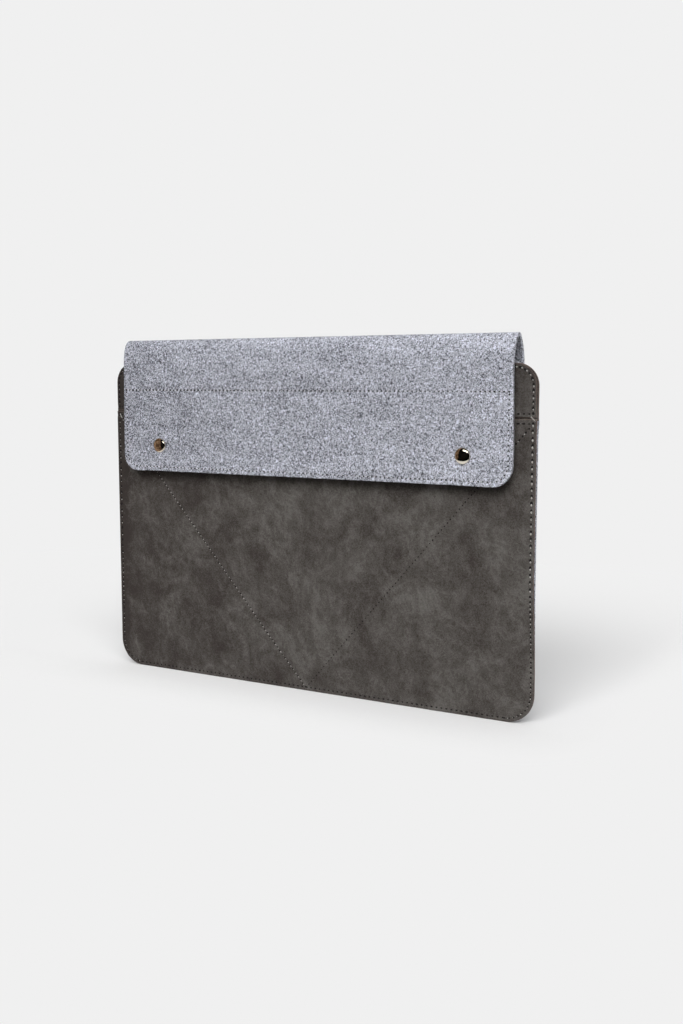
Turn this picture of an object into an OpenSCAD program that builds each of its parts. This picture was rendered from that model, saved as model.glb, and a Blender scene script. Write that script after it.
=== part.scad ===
// Laptop sleeve with a leather front, a felt back and a felt flap closed by two press studs.
// Millimetres. X runs to the right, Y to the back, Z up. The sleeve stands on its sewn bottom edge.

/* [Body] */
// Width of the sleeve over its sewn edges
body_w = 374; // [320:1:420]
// Height of the front from the bottom edge to the top of the band
body_h = 255; // [200:1:300]
// Radius of the front's four corners
corner_r = 18; // [8:1:24]
// Height of the upper leather band
band_h = 38.5; // [32:0.5:50]
// Width of the flat sewn border along the sides and the bottom
border_w = 7; // [6:0.5:10]
// Distance over which the panels swell from the border to their full depth
crown_run = 38; // [28:1:44]
// How far the leather front swells forward of its border
front_crown = 1.2; // [0.4:0.1:3]
// How far the felt back swells behind its border
back_crown = 7.6; // [6:0.1:12]

/* [Leather and felt] */
// Thickness of the leather
leather_t = 1.3; // [0.8:0.1:1.8]
// Thickness of the felt
felt_t = 3; // [2:0.1:4]
// Thickness of the flap's leather lining
lining_t = 1; // [0.6:0.1:1.5]
// Space between layers that are sewn together
layer_gap = 0.1; // [0.05:0.05:0.3]
// Width of the open line of the front seam
seam_gap = 0.3; // [0.1:0.05:0.6]

/* [Flap] */
// Width of the front that shows on each side of the flap
flap_side = 14; // [10:0.5:30]
// Height of the flap from the crest of the fold to its lower edge
flap_drop = 107; // [92:1:130]
// Radius of the flap's lower corners
flap_corner_r = 15; // [6:1:24]
// Height of the fold's crest above the band
crest_h = 21; // [20:0.5:30]
// Height of the curved part of the fold
fold_rise = 22; // [20:0.5:24]
// Radius inside the crease
crease_r = 0.5; // [0.3:0.1:2]
// Space between the felt of two bodies at a fold line
fold_gap = 0.3; // [0.2:0.05:0.6]
// How far the fold line at the back lies below the top of the band
root_drop = 5; // [3:0.5:8]
// Height of the lining inside the flap
lining_h = 67.5; // [45:0.5:72]
// Distance from the lining to the flap's edges
lining_margin = 1; // [0.5:0.5:4]

/* [Press studs] */
// Distance of each press stud from the flap's side
snap_side = 37.5; // [30:0.5:70]
// Height of the press studs above the flap's lower edge
snap_rise = 21; // [14:0.5:30]
// Diameter of the domed cap
cap_d = 12; // [10:0.5:15]
// Height of the domed cap
cap_h = 1.9; // [1.4:0.1:3]
// Height of the cap's rolled rim
cap_rim_h = 0.9; // [0.5:0.1:1.2]
// Diameter of the posts that rivet the snaps
post_d = 3; // [2.4:0.1:3.4]
// Diameter of a rivet's spread head
rivet_d = 4.6; // [4:0.1:5.2]
// Thickness of a rivet's spread head
rivet_t = 0.3; // [0.2:0.05:0.5]
// Diameter of the socket
socket_d = 10.6; // [10:0.1:12]
// Height of the socket
socket_h = 2; // [2:0.1:3]
// Thickness of the sheet metal flanges
flange_t = 0.4; // [0.3:0.05:0.5]
// Diameter of the stud's bulb
stud_d = 5.6; // [5:0.1:6]
// Diameter of the flanges on the front panel
flange_d = 10; // [8:0.1:11]
// Running space round the stud and in front of its flange
snap_gap = 0.3; // [0.2:0.05:0.45]
// Space round a post in its hole
hole_gap = 0.1; // [0.05:0.05:0.2]

/* [Stitching] */
// Distance from one stitch to the next along the sides
side_pitch = 5; // [3:0.1:8]
// Distance from one stitch to the next on the band, the seam and the bottom
band_pitch = 4; // [3:0.1:6]
// Distance from one stitch to the next on the flap and the slanted rows
fine_pitch = 3.5; // [3:0.1:6]
// Part of the distance that the thread covers
stitch_share = 0.62; // [0.4:0.02:0.8]
// Diameter of the thread
thread_d = 0.7; // [0.4:0.05:1]
// Space between the thread and the surface that it lies on
thread_gap = 0.1; // [0.05:0.05:0.2]
// Distance of the border's stitch row from the edge
stitch_inset = 2.7; // [2.5:0.1:5]
// Distance of the seam's two stitch rows from the seam
seam_row = 3.4; // [2:0.1:6]
// Distance of the flap's stitch row from its edge
flap_row_inset = 3.4; // [3:0.1:6]
// Distance of the slanted rows' feet from the middle
v_foot_side = 4.4; // [3:0.1:8]
// Height of the slanted rows' feet
v_foot_rise = 6.5; // [5:0.1:10]
// Length of the slanted reinforcing stitch at each end of the seam
tack_len = 5; // [3:0.5:7]
// Slant of that stitch
tack_slant = 50; // [30:1:70]

/* [Hidden] */
$fn = 48;
corner_step = 15;
run_steps = 6;
arc_steps = 6;
side_columns = 2;
cut_over = 1;
half_w = body_w / 2;
flap_half = half_w - flap_side;
seam_z = body_h - band_h;

// The panels lie flat inside their swelling, and always under the press studs
snap_x = flap_half - snap_side;
side_run = min(crown_run, half_w - border_w - snap_x - flange_d / 2);
plateau_x = half_w - border_w - side_run;
plateau_z = border_w + crown_run;

// Depths from the outer face of the leather at the border, front to back
back_depth = leather_t + layer_gap + back_crown;
flap_depth = front_crown + flange_t + snap_gap + socket_h + lining_t + felt_t;

// The frame's Y origin is halfway between the caps and the back
edge_y = -(back_depth + felt_t - flap_depth - cap_h) / 2;
panel_y = edge_y - front_crown;
flap_y = edge_y - flap_depth;
lining_y = flap_y + felt_t;
socket_y = lining_y + lining_t;

// Fold of the flap: two side arcs that meet a small crest arc
crest_z = body_h + crest_h;
flap_z = crest_z - flap_drop;
fold_z = crest_z - fold_rise;
root_z = body_h - root_drop;
fold_half = (back_depth + felt_t + flap_depth) / 2;
fold_y = edge_y + (back_depth + felt_t - flap_depth) / 2;
crest_r = crease_r + felt_t;
crest_up = fold_rise - crest_r;
side_r = (fold_half ^ 2 + crest_up ^ 2 - crest_r ^ 2) / (2 * (fold_half - crest_r));
side_arc = atan2(crest_up, side_r - fold_half);

// Felt above the seam is free at its sides, and reaches its full depth a little below the fold line
ease_run = 14;
fold_flat = 4;
free_run = root_z - fold_flat - seam_z;

// Press studs, measured along their axes
snap_z = flap_z + snap_rise;
post_hole_d = post_d + 2 * hole_gap;
socket_bore_d = stud_d + 2 * snap_gap;
stud_h = socket_h - rivet_t;
stud_waist = 0.4;
stud_neck_d = stud_d - 2 * stud_waist;
stud_top_t = 0.35;
stud_round = 0.3;
cap_round = 0.4;
socket_round = 0.4;

leather = "#504d49";
leather_dark = "#45413d";
felt = "#a2a3aa";
metal = "#cdc4b2";
thread = "#8d8a85";

// Surfaces

function smooth(t) = let (c = min(1, max(0, t))) c * c * (3 - 2 * c);
function side_rise(x) = smooth((half_w - border_w - abs(x)) / side_run);
function foot_rise(z) = smooth((z - border_w) / crown_run);
function sewn_rise(x, z) = side_rise(x) * foot_rise(z);
function free_rise(x, z) = let (s = sewn_rise(x, z)) s + (1 - s) * smooth((z - seam_z) / free_run);

// Outer face of the leather front
function front_y(x, z) = edge_y - front_crown * sewn_rise(x, z);

// Inner face of the felt back: one leather layer deep below the seam, two above it
function felt_base(z) = (leather_t + layer_gap) * (1 + smooth((z - seam_z + ease_run) / ease_run));
function felt_y(x, z) =
    let (base = felt_base(z)) edge_y + base + (back_depth - base) * free_rise(x, z);

// Half the width of the front at a height, with rounded corners
function corner_cut(d) = d >= corner_r ? 0 : corner_r - sqrt(corner_r ^ 2 - (corner_r - d) ^ 2);
function half_at(z) = half_w - corner_cut(max(0, min(z, body_h - z)));

foot_heights = concat(
    [for (a = [0 : corner_step : 90]) corner_r * (1 - cos(a))],
    [for (k = [1 : run_steps]) corner_r + (plateau_z - corner_r) * k / run_steps]
);
band_heights = concat(
    [seam_z + seam_gap / 2],
    [for (a = [0 : corner_step : 90]) body_h - corner_r + corner_r * sin(a)]
);
columns_right = [for (x = concat(
    [plateau_x / 2],
    [for (k = [0 : run_steps]) plateau_x + (flap_half - plateau_x) * k / run_steps],
    [for (k = [1 : side_columns]) flap_half + flap_side * k / side_columns]
)) x / half_w];
columns = concat([for (k = [len(columns_right) - 1 : -1 : 0]) -columns_right[k]], [0], columns_right);

// Rows [height, half width, columns left out on each side above the row]
function rows_at(heights) = [for (z = heights) [z, half_at(z), 0]];

back_rows = concat(
    rows_at(foot_heights),
    [for (k = [0 : 1]) [seam_z - ease_run + ease_run * k / 2, half_w, 0]],
    [for (k = [0 : run_steps])
        [seam_z + (root_z - fold_gap / 2 - seam_z) * k / run_steps, half_w, side_columns]]
);

// Closed sheet of thickness t on a grid of rows and columns; face_y(x, z) is its front face
module sheet(rows, face_y, t) {
    n = len(columns);
    m = len(rows);
    points = [for (side = [0, 1], row = rows, c = columns)
        let (x = c * row[1], z = row[0]) [x, face_y(x, z) + side * t, z]];
    function at(side, j, i) = (side * m + j) * n + i;
    function skip(j) = rows[j][2];
    // Faces between two grid places: the front one, the back one and the rim, seen from outside
    function front(j, i) = [at(0, j, i), at(0, j + 1, i), at(0, j + 1, i + 1), at(0, j, i + 1)];
    function back(j, i) = [at(1, j, i), at(1, j, i + 1), at(1, j + 1, i + 1), at(1, j + 1, i)];
    function rim(j, i, k, l) = [at(0, j, i), at(0, k, l), at(1, k, l), at(1, j, i)];
    quads = concat(
        [for (j = [0 : m - 2], i = [skip(j) : n - 2 - skip(j)]) each [front(j, i), back(j, i)]],
        [for (i = [0 : n - 2]) rim(0, i, 0, i + 1)],
        [for (j = [0 : m - 2]) each [
            rim(j + 1, skip(j), j, skip(j)),
            rim(j, n - 1 - skip(j), j + 1, n - 1 - skip(j))]],
        [for (i = [skip(m - 2) : n - 2 - skip(m - 2)]) rim(m - 1, i + 1, m - 1, i)],
        [for (j = [1 : m - 2], i = [skip(j - 1) : 1 : skip(j) - 1]) each [
            rim(j, i + 1, j, i),
            rim(j, n - 1 - i, j, n - 2 - i)]]
    );
    polyhedron(points, [for (q = quads, half = [[0, 1, 2], [0, 2, 3]]) [for (k = half) q[k]]]);
}

// Places along a press stud: the axis points to the front, from a face at depth y
module on_snap(side, y) {
    translate([side * snap_x, y, snap_z]) rotate([90, 0, 0]) children();
}

module snap_holes(y, depth) {
    for (side = [-1, 1])
        on_snap(side, y + depth + cut_over) cylinder(d = post_hole_d, h = depth + 2 * cut_over);
}

// Leather front

module front_panel() {
    color(leather) difference() {
        sheet(concat(rows_at(foot_heights), [[seam_z - seam_gap / 2, half_w, 0]]),
            function (x, z) front_y(x, z), leather_t);
        snap_holes(panel_y, leather_t);
    }
}

module top_band() {
    color(leather) sheet(rows_at(band_heights), function (x, z) front_y(x, z), leather_t);
}

module band_facing() {
    color(leather_dark)
        sheet(rows_at(band_heights), function (x, z) front_y(x, z) + leather_t + layer_gap, leather_t);
}

// Felt back and flap

module back_panel() {
    color(felt) sheet(back_rows, function (x, z) felt_y(x, z), felt_t);
}

// One half of the fold's arc at a depth inside the felt, from its foot to the crest; side is -1 at the front
function fold_arc(side, inset) =
    let (crest_end = acos(fold_gap / 2 / (crest_r - inset)))
    concat(
        [for (k = [0 : arc_steps]) let (a = side_arc * k / arc_steps)
            [fold_y + side * (fold_half - side_r + (side_r - inset) * cos(a)),
                fold_z + (side_r - inset) * sin(a)]],
        [for (k = [1 : arc_steps]) let (a = side_arc + (crest_end - side_arc) * k / arc_steps)
            [fold_y + side * (crest_r - inset) * cos(a), fold_z + crest_up + (crest_r - inset) * sin(a)]]
    );

// Felt leg from the crest down to a height, as a section in Y and Z
module felt_leg(side, low_z) {
    outer = concat([[fold_y + side * fold_half, low_z]], fold_arc(side, 0));
    inner = concat([[fold_y + side * (fold_half - felt_t), low_z]], fold_arc(side, felt_t));
    rotate([90, 0, 90])
        translate([0, 0, -flap_half])
            linear_extrude(2 * flap_half)
                polygon(concat(outer, [for (k = [len(inner) - 1 : -1 : 0]) inner[k]]));
}

// Flat plate between two depths, with its lower corners rounded
module flap_plate(w, low_z, high_z, r, y, t) {
    translate([0, y + t, 0]) rotate([90, 0, 0]) linear_extrude(t) {
        translate([-w / 2, low_z + r]) square([w, high_z - low_z - r]);
        translate([-w / 2 + r, low_z]) square([w - 2 * r, r]);
        for (side = [-1, 1]) translate([side * (w / 2 - r), low_z + r]) circle(r);
    }
}

module flap_root() {
    color(felt) felt_leg(1, root_z + fold_gap / 2);
}

module flap_front() {
    color(felt) difference() {
        intersection() {
            felt_leg(-1, flap_z);
            flap_plate(2 * flap_half, flap_z, crest_z + cut_over, flap_corner_r, flap_y - cut_over,
                2 * fold_half);
        }
        snap_holes(flap_y, felt_t);
    }
}

module flap_lining() {
    color(leather) difference() {
        flap_plate(2 * (flap_half - lining_margin), flap_z + lining_margin, flap_z + lining_h,
            flap_corner_r - lining_margin, lining_y, lining_t);
        snap_holes(lining_y, lining_t);
    }
}

// Press studs

module snap_cap(side) {
    shank = felt_t + lining_t + flange_t;
    color(metal) on_snap(side, flap_y) {
        rotate_extrude() polygon(concat(
            [[0, 0], [cap_d / 2 - cap_round, 0]],
            [for (a = [0 : corner_step : 90])
                [cap_d / 2 * cos(a), cap_rim_h + (cap_h - cap_rim_h) * sin(a)]]
        ));
        translate([0, 0, -shank]) cylinder(d = post_d, h = shank);
        translate([0, 0, -shank - rivet_t]) cylinder(d = rivet_d, h = rivet_t);
    }
}

module snap_socket(side) {
    color(metal) on_snap(side, socket_y) mirror([0, 0, 1]) rotate_extrude() polygon([
        [post_hole_d / 2, 0], [socket_d / 2, 0], [socket_d / 2, socket_h - socket_round],
        [socket_d / 2 - socket_round, socket_h], [socket_bore_d / 2, socket_h],
        [socket_bore_d / 2, flange_t], [post_hole_d / 2, flange_t]
    ]);
}

module snap_stud(side) {
    color(metal) on_snap(side, panel_y) rotate_extrude() polygon([
        [post_hole_d / 2, 0], [flange_d / 2, 0], [flange_d / 2, flange_t],
        [stud_neck_d / 2, flange_t], [stud_d / 2, (flange_t + stud_h) / 2], [stud_d / 2 - stud_round, stud_h],
        [0, stud_h], [0, stud_h - stud_top_t], [post_hole_d / 2, stud_h - stud_top_t]
    ]);
}

module snap_post(side) {
    reach = leather_t + stud_h - stud_top_t - hole_gap;
    color(metal) on_snap(side, panel_y + leather_t) {
        translate([0, 0, -flange_t]) cylinder(d = flange_d, h = flange_t);
        cylinder(d = post_d, h = reach);
    }
}

// Stitching

// One stitch lying on a face, along the direction from the X axis
module stitch(x, z, direction, y, pitch) {
    len = pitch * stitch_share;
    translate([x, y - thread_gap - thread_d / 2, z])
        rotate([0, 90 - direction, 0])
            cylinder(d = thread_d, h = len, center = true);
}

// Straight row between two points [x, z]
module stitch_line(from, to, pitch, face_y) {
    run = to - from;
    count = max(1, round(norm(run) / pitch));
    for (k = [0 : count - 1]) {
        p = from + run * (k + 0.5) / count;
        stitch(p[0], p[1], atan2(run[1], run[0]), face_y(p[0], p[1]), norm(run) / count);
    }
}

// Row on a quarter turn round a corner's centre
module stitch_corner(centre, r, start, pitch, face_y) {
    arc_len = PI / 2 * r;
    count = max(1, round(arc_len / pitch));
    for (k = [0 : count - 1]) {
        a = start + 90 * (k + 0.5) / count;
        p = centre + r * [cos(a), sin(a)];
        stitch(p[0], p[1], a + 90, face_y(p[0], p[1]), arc_len / count);
    }
}

module perimeter_stitching() {
    r = corner_r - stitch_inset;
    on_front = function (x, z) front_y(x, z);
    color(thread) {
        for (side = [-1, 1]) {
            edge = side * (half_w - stitch_inset);
            stitch_line([edge, corner_r], [edge, seam_z - seam_row], side_pitch, on_front);
            stitch_corner([side * (half_w - corner_r), corner_r], r, side < 0 ? 180 : 270,
                band_pitch, on_front);
        }
        stitch_line([corner_r - half_w, stitch_inset], [half_w - corner_r, stitch_inset],
            band_pitch, on_front);
    }
}

module band_stitching() {
    r = corner_r - stitch_inset;
    top = body_h - stitch_inset;
    on_front = function (x, z) front_y(x, z);
    color(thread) {
        for (side = [-1, 1]) {
            edge = side * (half_w - stitch_inset);
            stitch_line([edge, seam_z + seam_row], [edge, body_h - corner_r], band_pitch, on_front);
            stitch_corner([side * (half_w - corner_r), body_h - corner_r], r, side < 0 ? 90 : 0,
                band_pitch, on_front);
        }
        stitch_line([corner_r - half_w, top], [half_w - corner_r, top], band_pitch, on_front);
    }
}

module seam_stitching(side) {
    z = seam_z + side * seam_row;
    x = half_w - 2 * stitch_inset;
    color(thread) stitch_line([-x, z], [x, z], band_pitch, function (x, z) front_y(x, z));
}

module v_stitching(side) {
    top = [side * (half_w - 2 * stitch_inset), seam_z - 2 * seam_row];
    foot = [side * v_foot_side, v_foot_rise];
    color(thread) stitch_line(top, foot, fine_pitch, function (x, z) front_y(x, z));
}

module flap_edge_stitching() {
    r = flap_corner_r - flap_row_inset;
    low = flap_z + flap_row_inset;
    corner_z = flap_z + flap_corner_r;
    on_flap = function (x, z) flap_y;
    color(thread) {
        for (side = [-1, 1]) {
            edge = side * (flap_half - flap_row_inset);
            stitch_line([edge, corner_z], [edge, flap_z + lining_h - flap_row_inset], fine_pitch, on_flap);
            stitch_corner([side * (flap_half - flap_corner_r), corner_z], r, side < 0 ? 180 : 270,
                fine_pitch, on_flap);
        }
        stitch_line([flap_corner_r - flap_half, low], [flap_half - flap_corner_r, low],
            fine_pitch, on_flap);
    }
}

module flap_row_stitching() {
    x = flap_half - flap_row_inset;
    z = flap_z + lining_h - flap_row_inset / 2;
    color(thread) stitch_line([-x, z], [x, z], fine_pitch, function (x, z) flap_y);
}

module bar_tack(side) {
    x = side * (half_w - stitch_inset);
    color(thread)
        stitch(x, seam_z, -side * tack_slant, front_y(x, seam_z), tack_len / stitch_share);
}

front_panel();
top_band();
band_facing();
back_panel();
flap_root();
flap_front();
flap_lining();
snap_cap(-1);  // snap_cap_left
snap_cap(1);  // snap_cap_right
snap_socket(-1);  // snap_socket_left
snap_socket(1);  // snap_socket_right
snap_stud(-1);  // snap_stud_left
snap_stud(1);  // snap_stud_right
snap_post(-1);  // snap_post_left
snap_post(1);  // snap_post_right
perimeter_stitching();
band_stitching();
seam_stitching(1);  // seam_stitching_upper
seam_stitching(-1);  // seam_stitching_lower
v_stitching(-1);  // v_stitching_left
v_stitching(1);  // v_stitching_right
flap_edge_stitching();
flap_row_stitching();
bar_tack(-1);  // bar_tack_left
bar_tack(1);  // bar_tack_right
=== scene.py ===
"""Looks of a laptop sleeve: leather front, felt back, and a felt flap closed by two press studs.

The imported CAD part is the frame. Metres, with X to the right, Y to the back and Z up.
"""

import math

import bpy
import numpy as np
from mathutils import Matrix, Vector
from mathutils.bvhtree import BVHTree


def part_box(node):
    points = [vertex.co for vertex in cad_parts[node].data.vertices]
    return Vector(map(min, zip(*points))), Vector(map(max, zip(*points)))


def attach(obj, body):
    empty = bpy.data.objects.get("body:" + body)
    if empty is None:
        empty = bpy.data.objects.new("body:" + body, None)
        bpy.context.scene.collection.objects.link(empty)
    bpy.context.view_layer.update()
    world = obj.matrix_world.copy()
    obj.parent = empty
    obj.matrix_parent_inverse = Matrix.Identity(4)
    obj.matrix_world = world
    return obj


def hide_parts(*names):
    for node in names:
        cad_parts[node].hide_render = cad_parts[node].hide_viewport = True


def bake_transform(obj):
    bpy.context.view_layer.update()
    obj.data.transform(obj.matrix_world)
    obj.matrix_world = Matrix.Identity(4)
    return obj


MM = 0.001

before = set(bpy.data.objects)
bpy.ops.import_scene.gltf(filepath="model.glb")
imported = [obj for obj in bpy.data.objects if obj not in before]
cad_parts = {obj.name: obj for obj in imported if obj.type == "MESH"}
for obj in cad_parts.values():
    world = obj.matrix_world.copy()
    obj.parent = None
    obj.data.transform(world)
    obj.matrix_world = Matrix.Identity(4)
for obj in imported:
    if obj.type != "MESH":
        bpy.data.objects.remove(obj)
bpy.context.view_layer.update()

# Sizes read from the frame

panel_low, panel_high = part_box("front_panel")
band_low, band_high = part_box("top_band")
flap_low, flap_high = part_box("flap_front")
lining_low, lining_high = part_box("flap_lining")
cap_low, cap_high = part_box("snap_cap_right")
back_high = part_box("back_panel")[1]
root_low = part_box("flap_root")[0]

HALF_W = panel_high.x
FLAP_HALF = flap_high.x
SEAM_Z = (panel_high.z + band_low.z) / 2
TOP_Z = band_high.z
ROOT_Z = (back_high.z + root_low.z) / 2
CREST_Z = flap_high.z
FLAP_Z = flap_low.z
FLAP_Y = flap_low.y
BACK_Y = back_high.y
LINING_TOP = lining_high.z
CAP_X = (cap_low.x + cap_high.x) / 2
CAP_Z = (cap_low.z + cap_high.z) / 2
CAP_R = (cap_high.x - cap_low.x) / 2

# Sizes of the leather, the felt and the sewing

LEATHER_T = 1.3 * MM
FELT_T = 3 * MM
LAYER_GAP = 0.1 * MM
LINING_T = lining_high.y - lining_low.y
LINING_MARGIN = FLAP_HALF - lining_high.x
BORDER_W = 7 * MM
CROWN_RUN = 38 * MM
CORNER_R = 21.5 * MM
BAND_R = 16 * MM
FLAP_CORNER_R = 15 * MM
FRONT_CROWN = panel_high.y - panel_low.y - LEATHER_T
EDGE_Y = panel_low.y + FRONT_CROWN
BACK_DEPTH = BACK_Y - FELT_T - EDGE_Y
EASE_RUN = 14 * MM
FOLD_FLAT = 4 * MM
FREE_RUN = ROOT_Z - FOLD_FLAT - SEAM_Z
STITCH_INSET = 2.7 * MM
SEAM_ROW = 3.4 * MM
FLAP_ROW_INSET = 3.4 * MM
CROSS_INSET = 1.3 * MM
CROSS_Z = LINING_TOP - CROSS_INSET
SIDE_PITCH = 5 * MM
MIDDLE_PITCH = 4.5 * MM
BAND_PITCH = 4 * MM
FINE_PITCH = 3.5 * MM
# The sides are sewn in closer stitches towards the bottom
CLOSER_FROM = (118 * MM, 92 * MM)
SIDE_PITCHES = {
    -1: (SIDE_PITCH, MIDDLE_PITCH, BAND_PITCH),
    1: (SIDE_PITCH, MIDDLE_PITCH, FINE_PITCH),
}

# Fold of the flap: two wide side arcs that meet a small arc at the crest

FOLD_RISE = 22 * MM
CREASE_R = 0.5 * MM
FOLD_Z = CREST_Z - FOLD_RISE
FOLD_Y = (FLAP_Y + BACK_Y) / 2
FOLD_HALF = (BACK_Y - FLAP_Y) / 2
CREST_R = CREASE_R + FELT_T
CREST_UP = FOLD_RISE - CREST_R
SIDE_R = (FOLD_HALF**2 + CREST_UP**2 - CREST_R**2) / (2 * (FOLD_HALF - CREST_R))
SIDE_ARC = math.atan2(CREST_UP, SIDE_R - FOLD_HALF)
CREST_ARC = math.pi - 2 * SIDE_ARC

# Lengths along the felt, from its bottom edge over the crest to the flap's lower edge

SIDE_LEN = SIDE_R * SIDE_ARC
CREST_LEN = CREST_R * CREST_ARC
JOIN_UP = 4 * MM
JOIN_S = FOLD_Z + JOIN_UP
CREST_S = FOLD_Z + SIDE_LEN + CREST_LEN / 2
FRONT_S = FOLD_Z + 2 * SIDE_LEN + CREST_LEN
END_S = FRONT_S + FOLD_Z - FLAP_Z


# Forms of the sheets


def ease(t):
    t = np.clip(t, 0, 1)
    return t * t * (3 - 2 * t)


def groove(distance, width):
    """Share of a pressed line's depth at a distance from its middle."""
    return np.exp(-((distance / width) ** 2))


def sewn_rise(x, z):
    side = ease((HALF_W - BORDER_W - np.abs(x)) / CROWN_RUN)
    foot = ease((z - BORDER_W) / CROWN_RUN)
    return side * foot


def round_inset(over_x, over_z, r):
    """Distance inwards from an outline with round corners, from the way past a corner's centre."""
    outside = np.hypot(np.maximum(over_x, 0), np.maximum(over_z, 0))
    inside = np.minimum(np.maximum(over_x, over_z), 0)
    return r - outside - inside


def edge_distance(x, z):
    """Distance inwards from the outline of the whole leather front."""
    middle = TOP_Z / 2
    r = np.where(z > middle, BAND_R, CORNER_R)
    return round_inset(np.abs(x) - (HALF_W - r), np.abs(z - middle) - (middle - r), r)


V_TOP = (HALF_W - 2 * STITCH_INSET, SEAM_Z - 2 * SEAM_ROW)
V_FOOT = (0.5 * MM, 2.7 * MM)


def v_distance(x, z):
    """Distance from the nearer of the two slanted stitch rows."""
    run = np.subtract(V_FOOT, V_TOP)
    length = np.hypot(*run)
    px, pz = np.abs(x) - V_TOP[0], z - V_TOP[1]
    along = np.clip((px * run[0] + pz * run[1]) / length**2, 0, 1)
    return np.hypot(px - along * run[0], pz - along * run[1])


ROW_PRESS = 0.3 * MM
ROW_WIDTH = 1.6 * MM
V_PRESS = 0.25 * MM
LEATHER_WAVE = 0.12 * MM
WAVE_ACROSS = 19 * MM
WAVE_SWAY = 31 * MM
WAVE_UP = 23 * MM


def front_y(x, z):
    """Outer face of the leather front: a low crown, pressed in along its sewing."""
    rise = sewn_rise(x, z)
    wave = np.sin(x / WAVE_ACROSS + 2 * np.sin(z / WAVE_SWAY)) * np.sin(z / WAVE_UP + 1)
    press = ROW_PRESS * groove(edge_distance(x, z) - STITCH_INSET, ROW_WIDTH)
    for side in (-1, 1):
        press = press + ROW_PRESS * groove(z - SEAM_Z - side * SEAM_ROW, ROW_WIDTH)
    press = press + V_PRESS * groove(v_distance(x, z), ROW_WIDTH)
    return EDGE_Y - FRONT_CROWN * rise + LEATHER_WAVE * wave * rise + press


LIFT_RUN = 70 * MM
LIFT_AT_SEAM = 1.0 * MM
LIFT_AT_TOP = 2.4 * MM


def lifted(x, z):
    """Height on the leather front, whose left end stands a little higher."""
    at_end = ease((LIFT_RUN - HALF_W - x) / LIFT_RUN)
    to_seam = ease((z - SEAM_Z + LIFT_RUN) / LIFT_RUN)
    to_top = np.clip((z - SEAM_Z) / (TOP_Z - SEAM_Z), 0, 1)
    return z + at_end * (LIFT_AT_SEAM * to_seam + (LIFT_AT_TOP - LIFT_AT_SEAM) * to_top)


SPREAD_RUN = 55 * MM
SPREAD_FROM = 112 * MM
SPREAD_TO = 30 * MM
LEATHER_SPREAD = 2.0 * MM
FELT_SPREAD = 0.8 * MM


def spread(x, z):
    """Share of the way that the lower right corner stands out to the side."""
    low = ease((SPREAD_FROM - z) / (SPREAD_FROM - SPREAD_TO))
    return low * ease((x - HALF_W + SPREAD_RUN) / SPREAD_RUN)


def front_worn(x, z):
    """Where a place in the flat cut of the leather front comes to lie."""
    return x + LEATHER_SPREAD * spread(x, z), lifted(x, z)


def back_worn(x, z):
    return x + FELT_SPREAD * spread(x, z), z


def leather_place(behind):
    """Place on the leather front, this far behind its outer face."""

    def place(x, s, depth):
        worn_x, worn_z = front_worn(x, s)
        return np.stack([worn_x, front_y(x, s) + behind + depth, worn_z], axis=1)

    return place


BACK_ROW_PRESS = 0.7 * MM
BACK_ROW_WIDTH = 1.8 * MM


def felt_back_y(x, z):
    """Outer face of the felt back: one leather layer deep at the border, two above the seam."""
    rise = sewn_rise(x, z)
    free = rise + (1 - rise) * ease((z - SEAM_Z) / FREE_RUN)
    base = (LEATHER_T + LAYER_GAP) * (1 + ease((z - SEAM_Z + EASE_RUN) / EASE_RUN))
    press = BACK_ROW_PRESS * groove(edge_distance(x, z) - STITCH_INSET, BACK_ROW_WIDTH)
    press = press * ease((SEAM_Z - z) / EASE_RUN)
    return EDGE_Y + base + (BACK_DEPTH - base) * free + FELT_T - press


FLAP_PRESS = 0.45 * MM
CAP_PRESS = 0.5 * MM
CAP_PRESS_R = 8.5 * MM
EDGE_ROW_FADE = 2 * MM
CROSS_ROW_FADE = 1 * MM


def flap_press(x, z):
    """How far the sewing and the caps press into the flap's outer face."""
    side = np.abs(x)
    r = FLAP_CORNER_R
    edge = round_inset(side - (FLAP_HALF - r), FLAP_Z + r - z, r)
    to_end = FLAP_HALF - FLAP_ROW_INSET - side
    edge_row = groove(edge - FLAP_ROW_INSET, ROW_WIDTH) * ease((CROSS_Z - z) / EDGE_ROW_FADE)
    cross_row = groove(z - CROSS_Z, ROW_WIDTH) * ease(to_end / CROSS_ROW_FADE)
    cap = groove(np.hypot(side - CAP_X, z - CAP_Z), CAP_PRESS_R)
    return FLAP_PRESS * np.maximum(edge_row, cross_row) + CAP_PRESS * cap


FOLD_DRAW = 0.0045
DRAW_RUN = 60 * MM
FOLD_FULL = 1.5 * MM
FLAP_DROOP = 0.5 * MM
DROOP_RUN = 50 * MM


def drawn_in(s):
    """Share of the felt's width that is left where the flap is drawn in below its fold."""
    below = ease((FRONT_S + DRAW_RUN - s) / DRAW_RUN)
    return 1 - FOLD_DRAW * below * ease((s - CREST_S) / (FRONT_S - CREST_S))


def full_fold(s):
    """How far the front of the fold stands out near its crest."""
    share = np.clip((s - CREST_S) / (FRONT_S - CREST_S), 0, 1)
    return FOLD_FULL * np.sin(math.pi * np.sqrt(share)) ** 2


def droop(x, s):
    """How far the flap's lower corners hang down."""
    corner = ease((np.abs(x) - FLAP_HALF + DROOP_RUN) / DROOP_RUN)
    return FLAP_DROOP * corner * ease((s - END_S + DROOP_RUN) / DROOP_RUN)


FLAP_FLARE = 1.5 * MM
FLARE_RUN = 18 * MM


def flared(z):
    """How far the flap's lower edge stands off towards the front."""
    return FLAP_FLARE * ease((FLAP_Z + FLARE_RUN - z) / FLARE_RUN)


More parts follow.
